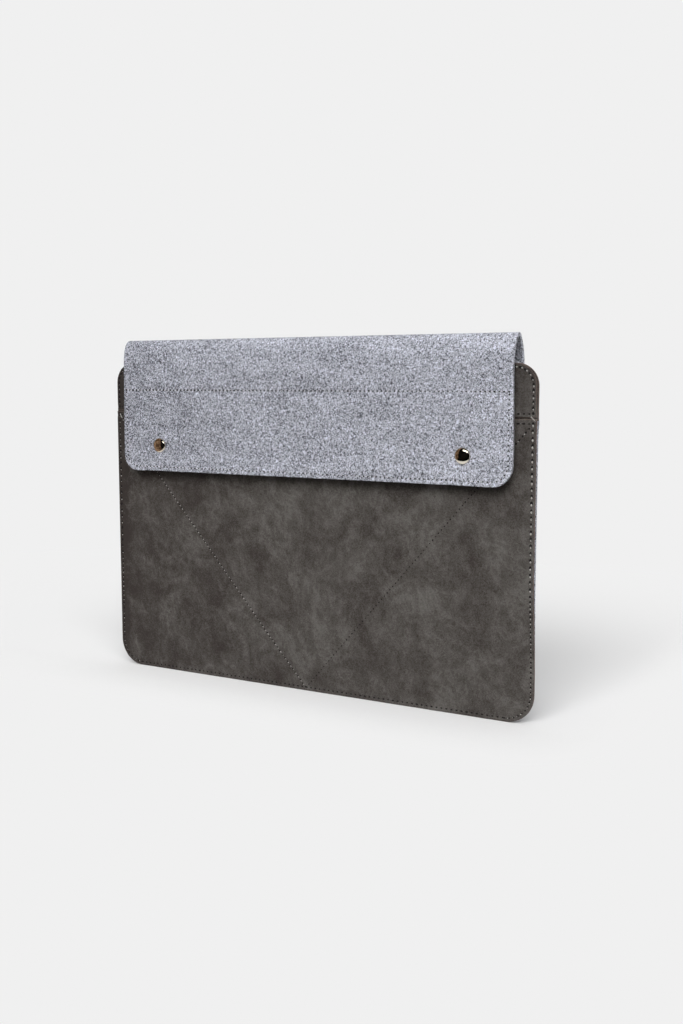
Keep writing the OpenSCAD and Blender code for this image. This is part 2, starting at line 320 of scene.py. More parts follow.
def felt_place(x, s, depth):
    """Place in the felt at a length s from its bottom edge and a depth under its outer face."""
    rear = (s - FOLD_Z) / SIDE_R
    crest = SIDE_ARC + (s - FOLD_Z - SIDE_LEN) / CREST_R
    front = (FRONT_S - s) / SIDE_R
    down = FOLD_Z - (s - FRONT_S)
    side_r, crest_r = SIDE_R - depth, CREST_R - depth
    zones = [s <= FOLD_Z, s <= FOLD_Z + SIDE_LEN, s <= FRONT_S - SIDE_LEN, s <= FRONT_S]
    y = np.select(zones, [
        felt_back_y(x, s) - depth,
        FOLD_Y + FOLD_HALF - SIDE_R + side_r * np.cos(rear),
        FOLD_Y + crest_r * np.cos(crest),
        FOLD_Y - FOLD_HALF + SIDE_R - side_r * np.cos(front),
    ], FLAP_Y + depth - flared(down) + flap_press(x, down) * (1 - depth / FELT_T))
    z = np.select(zones, [
        s,
        FOLD_Z + side_r * np.sin(rear),
        FOLD_Z + CREST_UP + crest_r * np.sin(crest),
        FOLD_Z + side_r * np.sin(front),
    ], down)
    worn_x = x * drawn_in(s) + FELT_SPREAD * spread(x, s)
    return np.stack([worn_x, y - full_fold(s), z - droop(x, s)], axis=1)


def lining_place(x, s, depth):
    return np.stack([x, lining_low.y + depth - flared(s), s], axis=1)


# Meshes


def joined_lines(*stops, cell):
    """Grid lines through all the stops, about a cell apart."""
    runs = []
    for start, end in zip(stops, stops[1:]):
        count = max(1, round(abs(end - start) / cell))
        runs.append(np.linspace(start, end, count + 1)[:-1])
    return np.concatenate([*runs, [stops[-1]]])


def round_corner(x, s, centre, out, r):
    """Bends the corner square outside a centre into a quarter disc."""
    u = (x - centre[0]) * out[0] / r
    v = (s - centre[1]) * out[1] / r
    inside = (u > 0) & (v > 0)
    u, v = np.where(inside, u, 0), np.where(inside, v, 0)
    new_x = centre[0] + out[0] * r * u * np.sqrt(1 - v * v / 2)
    new_s = centre[1] + out[1] * r * v * np.sqrt(1 - u * u / 2)
    return np.where(inside, new_x, x), np.where(inside, new_s, s)


def outline_of(quads):
    """The vertices round the outline of a flat grid, in order, inside on the left."""
    edges = np.concatenate([quads[:, [k, (k + 1) % 4]] for k in range(4)])
    pairs = set(map(tuple, edges.tolist()))
    after = {a: b for a, b in pairs if (b, a) not in pairs}
    loop = [min(after)]
    while after[loop[-1]] != loop[0]:
        loop.append(after[loop[-1]])
    return np.array(loop)


ROUND_STEPS = (30, 60, 90)


def thick_sheet(name, xs, ss, place, thickness, edge, corners=(), cut=None, joins=(), inward=False):
    """A closed sheet with rounded edges, cut from a flat grid of x and s and bent by place().

    corners are (centre, outward signs, radius), cut tells which cells are left out, joins are the
    values of s where the sheet goes on in another piece, and inward turns the faces round."""
    grid_x, grid_s = np.meshgrid(xs, ss)
    x, s = grid_x.ravel(), grid_s.ravel()
    at = np.arange(len(x)).reshape(grid_x.shape)
    quads = np.stack([at[:-1, :-1], at[:-1, 1:], at[1:, 1:], at[1:, :-1]], axis=2).reshape(-1, 4)
    if cut is not None:
        quads = quads[~cut(x[quads].mean(1), s[quads].mean(1))]
    used, inverse = np.unique(quads, return_inverse=True)
    quads = inverse.reshape(-1, 4)
    x, s = x[used], s[used]
    loop = outline_of(quads)
    on_join = np.isin(s[loop], joins)
    for centre, out, r in corners:
        x, s = round_corner(x, s, centre, out, r)

    flat = np.stack([x, s], axis=1)
    step = np.roll(flat[loop], -1, 0) - flat[loop]
    side = np.stack([step[:, 1], -step[:, 0]], axis=1)
    side /= np.linalg.norm(side, axis=1)[:, None]
    before = np.roll(side, 1, 0)
    miter = (side + before) / (1 + (side * before).sum(1))[:, None]
    width = np.where(on_join, 0, edge)[:, None]

    face = flat.copy()
    face[loop] -= miter * width
    layers = [(1 - math.sin(a), edge * (1 - math.cos(a))) for a in np.radians(ROUND_STEPS)]
    layers += [(inset, thickness - depth) for inset, depth in reversed(layers)]
    rings = [(flat[loop] - miter * width * inset, depth) for inset, depth in layers]

    count, around = len(flat), len(loop)
    sheets = [(face, 0.0), *rings, (face, thickness)]
    flat_all = np.concatenate([points for points, _ in sheets])
    depth_all = np.concatenate([np.full(len(points), depth) for points, depth in sheets])
    points = place(flat_all[:, 0], flat_all[:, 1], depth_all)

    last = count + around * len(rings)
    between = [count + around * k + np.arange(around) for k in range(len(rings))]
    bands = [loop, *between, last + loop]
    faces = [quads, last + quads[:, ::-1]]
    for low, high in zip(bands, bands[1:]):
        faces.append(np.stack([low, high, np.roll(high, -1), np.roll(low, -1)], axis=1))
    faces = np.concatenate(faces)
    if inward:
        faces = faces[:, ::-1]

    obj = mesh_object(name, points, faces)
    set_attribute(obj.data, "cloth", np.column_stack([flat_all, depth_all]))
    rim = np.zeros(len(points))
    rim[count:last] = 1
    set_attribute(obj.data, "rim", rim)
    mark_joins(obj.data, np.concatenate([loop[on_join], last + loop[on_join]]))
    return obj


def in_scene(name, data):
    obj = bpy.data.objects.new(name, data)
    bpy.context.scene.collection.objects.link(obj)
    return obj


def smooth_object(name, mesh):
    mesh.polygons.foreach_set("use_smooth", np.ones(len(mesh.polygons), bool))
    mesh.update()
    return in_scene(name, mesh)


def mesh_object(name, points, faces):
    mesh = bpy.data.meshes.new(name)
    mesh.from_pydata(points.tolist(), [], [list(map(int, f)) for f in faces])
    return smooth_object(name, mesh)


def set_attribute(mesh, name, values):
    """Stores a number or a vector for each point."""
    values = np.asarray(values, np.float32)
    kind, field = ("FLOAT_VECTOR", "vector") if values.ndim == 2 else ("FLOAT", "value")
    mesh.attributes.new(name, kind, "POINT").data.foreach_set(field, values.ravel())


def mark_joins(mesh, vertices):
    """Keeps the end faces at a join out of the smooth shading of the felt's own faces."""
    if not len(vertices):
        return
    ends = np.zeros(len(mesh.edges) * 2, int)
    mesh.edges.foreach_get("vertices", ends)
    sharp = np.isin(ends, vertices).reshape(-1, 2).all(1)
    mesh.attributes.new("sharp_edge", "BOOLEAN", "EDGE").data.foreach_set("value", sharp)


def lathe(name, profile, segments, centre):
    """A turned piece whose axis points to the front from a centre; profile is (radius, height)."""
    turn = np.linspace(0, 2 * math.pi, segments, endpoint=False)
    ring = np.stack([np.cos(turn), np.zeros(segments), np.sin(turn)], axis=1)
    points, faces = [], []
    for k, (radius, height) in enumerate(profile):
        points.append(ring * radius + centre - (0, height, 0))
        if k:
            low = (k - 1) * segments + np.arange(segments)
            high = low + segments
            faces += np.stack([low, np.roll(low, -1), np.roll(high, -1), high], axis=1).tolist()
    first = list(range(segments))
    last = [(len(profile) - 1) * segments + k for k in first]
    faces += [first[::-1], last]
    return mesh_object(name, np.concatenate(points), faces)


# Node trees


class Socket:
    """One output of a node. Arithmetic on it adds Math nodes to its tree."""

    def __init__(self, nodes, link):
        self.nodes = nodes
        self.link = link

    def math(self, operation, first, second=0.0):
        return self.nodes.add("ShaderNodeMath", {0: first, 1: second}, 0, operation=operation)

    def __add__(self, other):
        return self.math("ADD", self, other)

    __radd__ = __add__

    def __mul__(self, other):
        return self.math("MULTIPLY", self, other)

    __rmul__ = __mul__

    def __sub__(self, other):
        return self.math("SUBTRACT", self, other)

    def __rsub__(self, other):
        return self.math("SUBTRACT", other, self)

    def __pow__(self, other):
        return self.math("POWER", self, other)

    def least(self, other):
        return self.math("MINIMUM", self, other)

    def most(self, other):
        return self.math("MAXIMUM", self, other)

    def size(self):
        return self.math("ABSOLUTE", self)

    def swing(self, share):
        """A noise about its middle, times a share."""
        return (self - 0.5) * share

    def between(self, low, high, kind="SMOOTHSTEP"):
        """From 0 at low to 1 at high, and level outside."""
        values = {"Value": self, "From Min": low, "From Max": high}
        return self.nodes.add("ShaderNodeMapRange", values, "Result", interpolation_type=kind)


class Nodes:
    """Adds nodes to a tree: their settings, then the values or links of their sockets."""

    def __init__(self, tree):
        self.tree = tree

    def add(self, kind, values=None, out=None, **settings):
        node = self.tree.nodes.new(kind)
        for key, value in settings.items():
            setattr(node, key, value)
        for key, value in (values or {}).items():
            self.feed(node.inputs[key], value)
        return node if out is None else self.out_of(node, out)

    def feed(self, socket, value):
        if isinstance(value, Socket):
            self.tree.links.new(value.link, socket)
        else:
            socket.default_value = value

    def out_of(self, node, key=0):
        return Socket(self, node.outputs[key])

    def vector(self, operation, first, second):
        values = {0: first, "Scale" if operation == "SCALE" else 1: second}
        return self.add("ShaderNodeVectorMath", values, "Vector", operation=operation)

    def mix_colour(self, factor, first, second):
        return self.add("ShaderNodeMix", {0: factor, 6: first, 7: second}, 2, data_type="RGBA")


class Finish(Nodes):
    """A material on one Principled shader."""

    def __init__(self, name):
        self.material = bpy.data.materials.new(name)
        self.material.use_nodes = True
        super().__init__(self.material.node_tree)
        self.tree.nodes.clear()
        self.output = self.add("ShaderNodeOutputMaterial")
        self.shader = self.add("ShaderNodeBsdfPrincipled")
        self.tree.links.new(self.shader.outputs[0], self.output.inputs["Surface"])

    def set(self, **sockets):
        for name, value in sockets.items():
            self.feed(self.shader.inputs[name.replace("_", " ")], value)

    def object_place(self):
        return self.add("ShaderNodeTexCoord", out="Object")

    def attribute(self, name, out):
        return self.add("ShaderNodeAttribute", out=out, attribute_name=name)

    def across(self, place):
        return self.add("ShaderNodeSeparateXYZ", {0: place}, "X")

    def in_mm(self, place):
        return self.vector("SCALE", place, 1 / MM)

    def turned(self, place, degrees, stretch, axis=2):
        """The place turned about one of its axes, then divided by a stretch on each axis."""
        rotation = [0.0, 0.0, 0.0]
        rotation[axis] = math.radians(degrees)
        values = {"Vector": place, "Rotation": rotation, "Scale": stretch}
        return self.add("ShaderNodeMapping", values, "Vector", vector_type="TEXTURE")

    def noise(self, place, size, detail=2.0, rough=0.5, bend=0.0, seed=0.0):
        """Noise from 0 to 1 whose features are about this size, in the units of the place."""
        values = {
            "Vector": place, "W": seed, "Scale": 1 / size,
            "Detail": detail, "Roughness": rough, "Distortion": bend,
        }
        return self.add("ShaderNodeTexNoise", values, 0, noise_dimensions="4D")

    def bump(self, height, distance, strength):
        values = {"Height": height, "Distance": distance, "Strength": strength}
        return self.add("ShaderNodeBump", values, "Normal")


def colour(red, green, blue):
    """Linear colour of a shade as it is seen on a screen, from 0 to 255."""
    parts = [c / 255 for c in (red, green, blue)]
    linear = [c / 12.92 if c <= 0.04045 else ((c + 0.055) / 1.055) ** 2.4 for c in parts]
    return (*linear, 1.0)


# Materials: runs of painted shade and painted light lie between distances from the sleeve's middle,
# in millimetres

BRUSH_SLANT = -24
WISP_SHARP = 11
WISP_CLOUDS = (0.4, 0.62)
LEATHER_PAINTED_SHADE_RUN = (-170, 20)
LEATHER_END_PAINTED_SHADOW = (-185, -170)
FELT_PAINTED_LIGHT_RUNS = ((-170, -30), (30, 170))
FELT_DARK = colour(60, 60, 67)
FELT_LIGHT = colour(234, 237, 250)
FIBRE_TURNS = (10, 55, 100, 145)
FIBRE_STRETCH = (2.6, 0.7, 1.0)


def nubuck(name, dark, light, cut_edge):
    """Brushed leather: clouds, slanted smears and wisps, fine nap, and paler cut edges, with
    painted shade that darkens its left side and a strip along its left end.
    """
    f = Finish(name)
    place = f.in_mm(f.object_place())
    brushed = f.turned(place, BRUSH_SLANT, (1.0, 1.0, 1.35), axis=1)
    clouds = f.noise(place, size=36, detail=5, rough=0.6, bend=1.2, seed=2.0)
    smears = f.noise(brushed, size=15, detail=5, rough=0.62, bend=2.0, seed=7.0)
    wisps = f.noise(brushed, size=26, detail=4, rough=0.55, bend=2.6, seed=5.0)
    wisp = (1 - wisps.swing(WISP_SHARP).size()).between(0, 1) * clouds.between(*WISP_CLOUDS)
    nap = f.noise(place, size=1.3, detail=4, rough=0.75, seed=4.0)
    grain = f.noise(place, size=0.5, detail=2, rough=0.6, seed=9.0)
    patch = clouds.swing(1.1) + smears.swing(1.0) + wisp * 0.26
    patch = patch + nap.swing(1.5) + grain.swing(1.6)
    across = f.across(place)
    # Painted shade: the leather darkens towards its left side, where less light falls
    patch = patch + across.between(*LEATHER_PAINTED_SHADE_RUN) * 0.17
    # Painted shadow: a strip along the left end is darker still, standing in for the flap's shadow
    # beside the flap
    patch = patch + across.between(*LEATHER_END_PAINTED_SHADOW) * 0.42 - 0.24
    shade = f.mix_colour(patch.between(0, 1, "LINEAR"), dark, light)
    rim = f.attribute("rim", "Fac")
    edge_tone = rim * (0.55 + 0.45 * f.noise(place, size=0.9, detail=2, seed=3.0))
    f.set(
        Base_Color=f.mix_colour(edge_tone, shade, cut_edge),
        Roughness=0.74 + 0.16 * nap,
        Sheen_Weight=0.06,
        Sheen_Roughness=0.5,
        Specular_IOR_Level=0.3,
        Normal=f.bump(nap * 0.5 + grain * 0.5, 0.12 * MM, 0.5),
    )
    return f.material


def heathered_felt():
    """Pressed wool: pale ground with short light and dark fibres in all directions, and painted
    light that makes it paler towards the right.
    """
    f = Finish("heathered_felt")
    place = f.in_mm(f.attribute("cloth", "Vector"))
    strands = []
    for k, degrees in enumerate(FIBRE_TURNS):
        turned = f.turned(place, degrees, FIBRE_STRETCH)
        strands.append(f.noise(turned, size=1.0, detail=1.5, rough=0.5, bend=0.5, seed=3.0 * k))
    light = dark = strands[0]
    for strand in strands[1:]:
        light, dark = light.most(strand), dark.least(strand)
    tufts = f.noise(place, size=0.95, detail=3, rough=0.7, seed=11.0)
    clouds = f.noise(f.turned(place, 0, (3.0, 1.0, 1.0)), size=9, detail=4, rough=0.6, seed=5.0)
    tone = (light + dark - 1) * 2.3 + tufts.swing(1.9) + clouds.swing(0.5) + 0.34
    across = f.across(place)
    # Painted light: the felt grows paler towards its right side, where more light falls
    painted_light_left, painted_light_right = (across.between(*run) for run in FELT_PAINTED_LIGHT_RUNS)
    tone = tone + painted_light_left * 0.065 + painted_light_right * 0.05
    f.set(
        Base_Color=f.mix_colour(tone.between(0, 1, "LINEAR"), FELT_DARK, FELT_LIGHT),
        Roughness=0.95,
        Specular_IOR_Level=0.15,
        Sheen_Weight=0.1,
        Sheen_Roughness=0.6,
        Normal=f.bump(light * 0.6 + tufts * 0.4, 0.35 * MM, 0.6),
    )
    return f.material


def warm_nickel():
    """Polished plating with fine handling marks."""
    f = Finish("warm_nickel")
    place = f.in_mm(f.object_place())
    wear = f.noise(place, size=1.8, detail=4, rough=0.65, seed=1.0)
    tone = f.mix_colour(wear, (0.70, 0.64, 0.54, 1), (0.82, 0.77, 0.68, 1))
    f.set(Base_Color=tone, Metallic=1.0, Roughness=0.035 + 0.07 * wear)
    return f.material


def sewing_thread(name, low, high):
    """Twisted thread: fine slanted plies."""
    f = Finish(name)
    place = f.in_mm(f.object_place())
    plies = f.noise(f.turned(place, 40, (0.9, 0.25, 0.9)), size=1.0, detail=1, seed=2.0)
    f.set(
        Base_Color=f.mix_colour(plies.between(0.3, 0.7), low, high),
        Roughness=0.7,
        Sheen_Weight=0.1,
        Normal=f.bump(plies, 0.06 * MM, 0.5),
    )
    return f.material


# Painted shade: the needle holes are flat dark discs coloured as the shade inside a hole
def needle_hole():
    f = Finish("needle_hole")
    place = f.in_mm(f.object_place())
    depth = f.noise(place, size=0.6, detail=1, seed=6.0)
    f.set(Base_Color=f.mix_colour(depth, colour(14, 12, 11), colour(30, 27, 25)), Roughness=0.95)
    return f.material


LEATHER = nubuck("nubuck", colour(55, 48, 45), colour(108, 105, 101), colour(108, 90, 82))
LINING = nubuck("nubuck_lining", colour(54, 49, 45), colour(98, 95, 90), colour(100, 86, 78))
FELT = heathered_felt()
METAL = warm_nickel()
THREAD = sewing_thread("thread", colour(146, 142, 137), colour(200, 197, 192))
FELT_THREAD = sewing_thread("felt_thread", colour(176, 177, 184), colour(218, 219, 226))
HOLE_SHADE = needle_hole()


# Stitches


class Geometry(Nodes):
    """A Geometry Nodes tree with named inputs."""

    def __init__(self, name, inputs):
        tree = bpy.data.node_groups.new(name, "GeometryNodeTree")
        super().__init__(tree)
        self.sockets = {}
        for label, kind in [("Geometry", "Geometry"), *inputs.items()]:
            kind = "NodeSocket" + kind
            self.sockets[label] = tree.interface.new_socket(label, in_out="INPUT", socket_type=kind)
        tree.interface.new_socket("Geometry", in_out="OUTPUT", socket_type="NodeSocketGeometry")
        self.start = self.add("NodeGroupInput")

    def input(self, label):
        return self.out_of(self.start, label)

    def vector_of(self, x, y, z):
        return self.add("ShaderNodeCombineXYZ", {"X": x, "Y": y, "Z": z}, "Vector")

    def stored(self, name, kind="FLOAT_VECTOR"):
        return self.add("GeometryNodeInputNamedAttribute", {"Name": name}, 0, data_type=kind)

    def keep(self, geometry, name, value, kind, domain="POINT"):
        values = {"Geometry": geometry, "Name": name, "Value": value}
        node = "GeometryNodeStoreNamedAttribute"
        return self.add(node, values, "Geometry", data_type=kind, domain=domain)

    def aligned(self, axis, along, rotation=(0, 0, 0), pivot="AUTO"):
        values = {"Vector": along, "Rotation": rotation}
        node = "FunctionNodeAlignRotationToVector"
        return self.add(node, values, "Rotation", axis=axis, pivot_axis=pivot)

    def placed(self, points, instance, rotation, scale, material):
        values = {"Points": points, "Instance": instance, "Rotation": rotation, "Scale": scale}
        instances = self.add("GeometryNodeInstanceOnPoints", values, "Instances")
        real = self.add("GeometryNodeRealizeInstances", {"Geometry": instances}, "Geometry")
        return self.add("GeometryNodeSetMaterial", {"Geometry": real, "Material": material}, 0)


THREAD_SIDES = 6
THREAD_STEPS = 5
THREAD_START = 0.3
HOLE_SIDES = 10
SIZE_LEAST = 0.82
SIZE_MOST = 1.15


def stitch_row_tree():
    """Stitches along lines of edges that carry their pitch, depth, size and way out of the face.

    The thread comes out of each needle hole along the line, except at the line's end."""
    g = Geometry("stitch_row", {
        "Thread Length": "Float", "Thread Diameter": "Float", "Rise": "Float", "Sink": "Float",
        "Hole Length": "Float", "Hole Width": "Float", "Seed": "Int",
        "Thread": "Material", "Hole": "Material",
    })
    line = g.add("GeometryNodeMeshToCurve", {"Mesh": g.input("Geometry")}, "Curve")
    values = {"Curve": line, "Length": g.stored("pitch", "FLOAT")}
    spaced = g.add("GeometryNodeResampleCurve", values, "Curve", mode="LENGTH")
    values = {"Start Size": 0, "End Size": 1}
    last = g.add("GeometryNodeCurveEndpointSelection", values, "Selection")
    ended = g.keep(spaced, "last", last, "BOOLEAN")
    steps = g.add("GeometryNodeCurveToMesh", {"Curve": ended}, "Mesh")

    ends = g.add("GeometryNodeInputMeshEdgeVertices")
    along = g.vector("SUBTRACT", g.out_of(ends, "Position 2"), g.out_of(ends, "Position 1"))
    marked = g.keep(steps, "along", along, "FLOAT_VECTOR", "EDGE")
    points = g.add("GeometryNodeMeshToPoints", {"Mesh": marked}, "Points", mode="VERTICES")
    turn = g.aligned("Z", g.stored("facing"), g.aligned("X", g.stored("along")), "X")
    inwards = g.vector("SCALE", g.stored("facing"), 0 - g.stored("deep", "FLOAT"))
    deeper = g.add("GeometryNodeSetPosition", {"Geometry": points, "Offset": inwards}, 0)

    start = g.input("Hole Length") * THREAD_START
    length = g.input("Thread Length")
    sink = 0 - g.input("Sink")
    values = {
        "Resolution": THREAD_STEPS,
        "Start": g.vector_of(start, 0.0, sink),
        "Middle": g.vector_of(start + length * 0.5, 0.0, g.input("Rise") * 2),
        "End": g.vector_of(start + length, 0.0, sink),
    }
    path = g.add("GeometryNodeCurveQuadraticBezier", values, "Curve")
    values = {"Resolution": THREAD_SIDES, "Radius": g.input("Thread Diameter") * 0.5}
    ring = g.add("GeometryNodeCurvePrimitiveCircle", values, "Curve")
    values = {"Curve": path, "Profile Curve": ring, "Fill Caps": True}
    loop = g.add("GeometryNodeCurveToMesh", values, "Mesh")
    values = {2: SIZE_LEAST, 3: SIZE_MOST, "Seed": g.input("Seed")}
    vary = g.add("FunctionNodeRandomValue", values, 1, data_type="FLOAT")
    vary = vary * g.stored("size", "FLOAT")
    values = {"Geometry": deeper, "Selection": g.stored("last", "BOOLEAN")}
    leaving = g.add("GeometryNodeDeleteGeometry", values, "Geometry", domain="POINT")
    thread = g.placed(leaving, loop, turn, g.vector_of(vary, vary, vary), g.input("Thread"))

    # Each needle hole is a flat dark disc of painted shade
    values = {"Vertices": HOLE_SIDES, "Radius": 0.5}
    shade_disc = g.add("GeometryNodeMeshCircle", values, "Mesh", fill_type="NGON")
    wide = g.vector_of(g.input("Hole Length") * vary, g.input("Hole Width") * vary, 1.0)
    shade_discs = g.placed(points, shade_disc, turn, wide, g.input("Hole"))
    both = g.add("GeometryNodeJoinGeometry")
    for part in (shade_discs, thread):
        g.tree.links.new(part.link, both.inputs[0])
    g.add("NodeGroupOutput", {"Geometry": g.out_of(both)})
    return g


STITCH_ROW = stitch_row_tree()


def path_object(name, rows):
    """Lines of edges through rows of points, with the way out of their face, and the pitch, depth
    and size of their stitches."""
    points, edges = [], []
    kept = {"facing": [], "pitch": [], "deep": [], "size": []}
    for row, outward, *numbers in rows:
        start = len(points)
        points += row.tolist()
        edges += [(k, k + 1) for k in range(start, len(points) - 1)]
        kept["facing"] += [outward] * len(row)
        for label, number in zip(("pitch", "deep", "size"), numbers):
            kept[label] += list(np.broadcast_to(number, len(row)))
    mesh = bpy.data.meshes.new(name)
    mesh.from_pydata(points, edges, [])
    for label, values in kept.items():
        set_attribute(mesh, label, values)
    return in_scene(name, mesh)


def sewn(name, rows, seed, length, diameter, rise, hole, sink=0.35, thread=THREAD):
    """Stitches along rows; the sizes of the thread and of the needle holes are in millimetres."""
    path = path_object(name + "_path", rows)
    modifier = path.modifiers.new("stitches", "NODES")
    modifier.node_group = STITCH_ROW.tree
    values = {
        "Thread Length": length * MM, "Thread Diameter": diameter * MM,
        "Rise": rise * MM, "Sink": sink * MM,
        "Hole Length": hole[0] * MM, "Hole Width": hole[1] * MM,
        "Seed": seed, "Thread": thread, "Hole": HOLE_SHADE,
    }
    for label, value in values.items():
        modifier[STITCH_ROW.sockets[label].identifier] = value
    graph = bpy.context.evaluated_depsgraph_get()
    mesh = bpy.data.meshes.new_from_object(path.evaluated_get(graph))
    bpy.data.objects.remove(path)
    mesh.name = name
    return smooth_object(name, mesh)


# Rows of stitches

TO_FRONT = (0, -1, 0)
TO_BACK = (0, 1, 0)
PATH_STEP = 1 * MM
CORNER_STEPS = 6
PIT_LIFT = 0.12 * MM
FAR = 0.1
# How deep the threads lie in the leather, on the left (-1) and the right (1)
LEFT_DEEP = 0.5 * MM
SIDE_DEEP = {-1: (LEFT_DEEP, LEFT_DEEP, 0.45 * MM), 1: (0.0, 0.25 * MM, 0.38 * MM)}
BOTTOM_DEEP = 0.7 * MM
SEAM_DEEP = 0.55 * MM
V_DEEP = {-1: 0.35 * MM, 1: 0.7 * MM}
# Share of the stitches' full size at both ends of a run
SIDE_SIZE = {-1: (0.8, 0.96), 1: (0.75, 1.12)}
SIDE_RUN = (45 * MM, 130 * MM)
BOTTOM_SIZE = (0.7, 0.82)
CROSS_SIZE = (1.4, 1.05)
V_SIZE = {-1: (1.0, 1.0), 1: (1.0, 1.3)}
V_RUN = (150 * MM, 210 * MM)


def straight(start, end):
    count = max(2, math.ceil(math.dist(start, end) / PATH_STEP))
    t = np.linspace(0, 1, count + 1)[:, None]
    return (1 - t) * start + t * end


def turned_corner(centre, r, start, end):
    count = max(CORNER_STEPS, math.ceil(r * math.radians(abs(end - start)) / PATH_STEP))
    a = np.radians(np.linspace(start, end, count + 1))
    return np.stack([np.cos(a), np.sin(a)], axis=1) * r + centre


def cornered(start, centre, r, turns, end):
    """A straight run, a quarter turn about a centre, and a straight run."""
    corner = turned_corner(centre, r, *turns)
    return np.concatenate([straight(start, corner[0]), corner[1:], straight(corner[-1], end)[1:]])


def laid_on(outward, *sheets, worn=lambda x, z: (x, z)):
    """Brings flat rows of (x, z) onto the outermost of some sheets, just clear of it.

    worn gives where a place in the sheets' flat cut comes to lie."""
    trees = []
    for sheet in sheets:
        corners = [v.co for v in sheet.data.vertices]
        trees.append(BVHTree.FromPolygons(corners, [p.vertices for p in sheet.data.polygons]))

    def on_face(flat):
        row = []
        for flat_x, flat_z in flat:
            x, z = worn(flat_x, flat_z)
            start = Vector((x, outward * FAR, z))
            hits = [tree.ray_cast(start, Vector((0, -outward, 0)))[0] for tree in trees]
            faces = [hit.y * outward for hit in hits if hit]
            if faces:
                row.append((x, outward * (max(faces) + PIT_LIFT), z))
        return np.array(row)

    return on_face


def border_rows(on_face, outward):
    """Both sides from the seam down, and the bottom with its round corners."""
    edge, low = HALF_W - STITCH_INSET, STITCH_INSET
    r, centre_x = CORNER_R - STITCH_INSET, HALF_W - CORNER_R
    row = on_face(straight((-centre_x, low), (centre_x, low))[1:-1])
    size = np.interp(row[:, 0], (-HALF_W, HALF_W), BOTTOM_SIZE)
    rows = [(row, outward, BAND_PITCH, BOTTOM_DEEP, size)]
    stops = (SEAM_Z - SEAM_ROW, *CLOSER_FROM, CORNER_R)
    runs = [straight((edge, high), (edge, foot)) for high, foot in zip(stops, stops[1:])]
    runs[-1] = np.concatenate([runs[-1], turned_corner((centre_x, CORNER_R), r, 0, -90)[1:]])
    for side in (-1, 1):
        for run, pitch, deep in zip(runs, SIDE_PITCHES[side], SIDE_DEEP[side]):
            row = on_face(run * (side, 1))
            size = np.interp(row[:, 2], SIDE_RUN, SIDE_SIZE[side])
            rows.append((row, outward, pitch, deep, size))
    return rows


def band_rows(on_front):
    """From the middle of the band's top edge to each side and down to the seam."""
    start = (0, TOP_Z - STITCH_INSET)
    centre = (HALF_W - BAND_R, TOP_Z - BAND_R)
    end = (HALF_W - STITCH_INSET, SEAM_Z + SEAM_ROW)
    right = cornered(start, centre, BAND_R - STITCH_INSET, (90, 0), end)
    deep = {-1: LEFT_DEEP, 1: 0.0}
    return [(on_front(right * (side, 1)), TO_FRONT, BAND_PITCH, deep[side], 1.0) for side in deep]


def flap_edge_rows(on_face, outward):
    start = (FLAP_HALF - FLAP_ROW_INSET, LINING_TOP - FLAP_ROW_INSET)
    centre = (FLAP_HALF - FLAP_CORNER_R, FLAP_Z + FLAP_CORNER_R)
    end = (0, FLAP_Z + FLAP_ROW_INSET)
    right = cornered(start, centre, FLAP_CORNER_R - FLAP_ROW_INSET, (0, -90), end)
    return [(on_face(right * (side, 1)), outward, FINE_PITCH, 0.0, 1.0) for side in (-1, 1)]


def flap_cross_row(on_face, outward):
    x = FLAP_HALF - FLAP_ROW_INSET
    row = on_face(straight((-x, CROSS_Z), (x, CROSS_Z)))
    size = np.interp(row[:, 0], (-x, 0), CROSS_SIZE)
    return [(row, outward, FINE_PITCH, 0.0, size)]


def seam_rows(on_front, side):
    x, z = HALF_W - 2 * STITCH_INSET, SEAM_Z + side * SEAM_ROW
    return [(on_front(straight((-x, z), (x, z))), TO_FRONT, BAND_PITCH, SEAM_DEEP, 1.0)]


def v_rows(on_front, side):
    row = on_front(straight(V_TOP, V_FOOT) * (side, 1))
    size = np.interp(row[:, 2], V_RUN, V_SIZE[side])
    return [(row, TO_FRONT, FINE_PITCH, V_DEEP[side], size)]


TACK_LEN = 4.8 * MM
TACK_SLANT = {-1: -58, 1: -42}
TACK_SHIFT = {-1: (1.2 * MM, -4 * MM), 1: (-0.2 * MM, 0.2 * MM)}


def tack_rows(on_front, side):
    """One long thread at the end of the seam."""
    slant = math.radians(TACK_SLANT[side])
    half = np.array([math.cos(slant), math.sin(slant)]) * TACK_LEN / 2
    centre = np.array([side * (HALF_W - STITCH_INSET), SEAM_Z]) + TACK_SHIFT[side]
    return [(on_front(straight(centre - half, centre + half)), TO_FRONT, 2 * TACK_LEN, 0.0, 1.0)]


# Leather pieces

LEATHER_CELL = 1.5 * MM
LEATHER_EDGE = 0.45 * MM
EDGE_CELL = 0.9 * MM
SEAM_OPEN = 0.8 * MM
FACING_LAP = 1.2 * MM
PANEL_SPAN = (-HALF_W, HALF_W)
BAND_SPAN = (0.5 * MM - HALF_W, HALF_W - 0.4 * MM)
FACING_SPAN = (-0.6 * MM - HALF_W, HALF_W + 0.7 * MM)
PANEL_RISE = (0, panel_high.z)
BAND_RISE = (band_low.z + SEAM_OPEN, TOP_Z)
FACING_RISE = (panel_high.z - FACING_LAP, TOP_Z)


def edged_lines(start, end, cell):
    """Grid lines with a narrow cell along each edge, so that the faces stay flat up to it."""
    return joined_lines(start, start + EDGE_CELL, end - EDGE_CELL, end, cell=cell)


def round_end(left, right, end, out, r):
    """The two corners at an end of a sheet, which goes out up (1) or down (-1)."""
    return [((left + r, end - out * r), (-1, out), r), ((right - r, end - out * r), (1, out), r)]


def finish_piece(obj, body, slot, material, *nodes):
    obj.data.materials.append(material)
    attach(obj, body)
    dress(obj, slot, *nodes)
    return obj


def dress(obj, slot, *nodes):
    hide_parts(*nodes)


